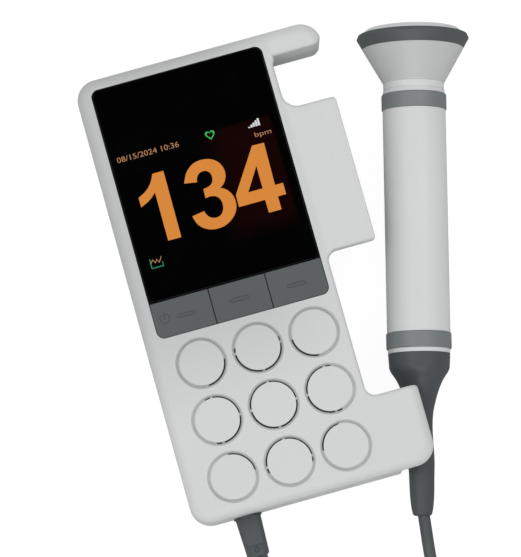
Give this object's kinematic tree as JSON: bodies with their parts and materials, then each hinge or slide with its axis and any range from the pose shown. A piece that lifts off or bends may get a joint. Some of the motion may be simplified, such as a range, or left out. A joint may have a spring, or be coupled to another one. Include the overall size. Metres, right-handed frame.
{
  "type": "fetal doppler monitor",
  "caption": "Handheld fetal doppler unit with a display, soft keys, a ringed loudspeaker grille and a side holder, and a pencil probe on a lead with its plug in the bottom end.",
  "frame": {"origin": "on the unit's flat back face, behind the display's centre line, halfway up the unit", "axes": "+Z out of the display, square to the back face; +Y along the unit towards the end with the ear; +X towards the probe"},
  "size_m": [0.1221, 0.2584, 0.0348],
  "materials": {
    "case_plastic": "fine satin moulding",
    "window_glass": "high gloss black",
    "screen": "satin",
    "key_rubber": "matt",
    "mat_rubber": "matt",
    "dark_soft_plastic": "matt",
    "relief_rubber": "matt",
    "probe_plastic": "fine satin moulding",
    "lead_pvc": "satin",
    "black_plastic": "satin",
    "board": "solder mask",
    "chip": "matt",
    "tin_plate": "satin",
    "steel": "satin",
    "speaker_paper": "matt",
    "speaker_cloth": "matt",
    "cell_sleeve": "gloss",
    "brass": "satin",
    "crystal": "matt",
    "backing": "matt",
    "tie": "woven"
  },
  "bodies": {
    "unit": {"front_casing": "case_plastic", "rear_casing": "case_plastic", "display_window": "window_glass", "display_panel": "screen", "display_backlight": "black_plastic", "display_carrier": "black_plastic", "key_switch_left": "tin_plate", "key_switch_middle": "tin_plate", "key_switch_right": "tin_plate", "keypad_mat": "mat_rubber", "main_board": "board", "shield_can": "tin_plate", "processor": "chip", "speaker_cloth": "speaker_cloth", "speaker_frame": "steel", "speaker_cone": "speaker_paper", "speaker_magnet": "steel", "probe_socket": "black_plastic", "socket_board": "board", "headphone_socket": "black_plastic", "case_screws": "steel", "battery_cell_left": "cell_sleeve", "battery_cell_right": "cell_sleeve", "battery_contact_low": "steel", "battery_contact_high": "steel", "plug_body": "relief_rubber", "plug_pin": "brass", "plug_boot": "relief_rubber", "lead_probe_side": "lead_pvc", "lead_plug_side": "lead_pvc", "lead_coil": "lead_pvc", "lead_tie": "tie"},
    "key_left": {"soft_key_left": "key_rubber"},
    "key_middle": {"soft_key_middle": "key_rubber"},
    "key_right": {"soft_key_right": "key_rubber"},
    "door": {"battery_door": "case_plastic"},
    "probe": {"strain_relief": "relief_rubber", "spacer_ring": "probe_plastic", "lower_band": "dark_soft_plastic", "upper_band": "dark_soft_plastic", "probe_body": "probe_plastic", "head_shell": "probe_plastic", "rim_band": "relief_rubber", "sound_face": "probe_plastic", "transmit_crystal": "crystal", "receive_crystal": "crystal", "crystal_backing": "backing", "probe_board": "board", "probe_lead_end": "lead_pvc", "cord_clamp": "black_plastic"}
  },
  "joints": [
    {"name": "soft_key_left_press", "type": "slide", "parent": "unit", "child": "key_left", "axis": [0, 0, -1], "range_m": [0, 0.0006], "stiffness_N_per_m": 800},
    {"name": "soft_key_middle_press", "type": "slide", "parent": "unit", "child": "key_middle", "axis": [0, 0, -1], "range_m": [0, 0.0006], "stiffness_N_per_m": 800},
    {"name": "soft_key_right_press", "type": "slide", "parent": "unit", "child": "key_right", "axis": [0, 0, -1], "range_m": [0, 0.0006], "stiffness_N_per_m": 800},
    {"name": "battery_door_slide", "type": "slide", "parent": "unit", "child": "door", "axis": [0, -1, 0], "range_m": [0, 0.01]},
    {"name": "probe_turn", "type": "hinge", "parent": "unit", "child": "probe", "pos_m": [0.03605, -0.0846, 0.0174], "axis": [0, 0, 1], "range_deg": [-12, 3]}
  ]
}
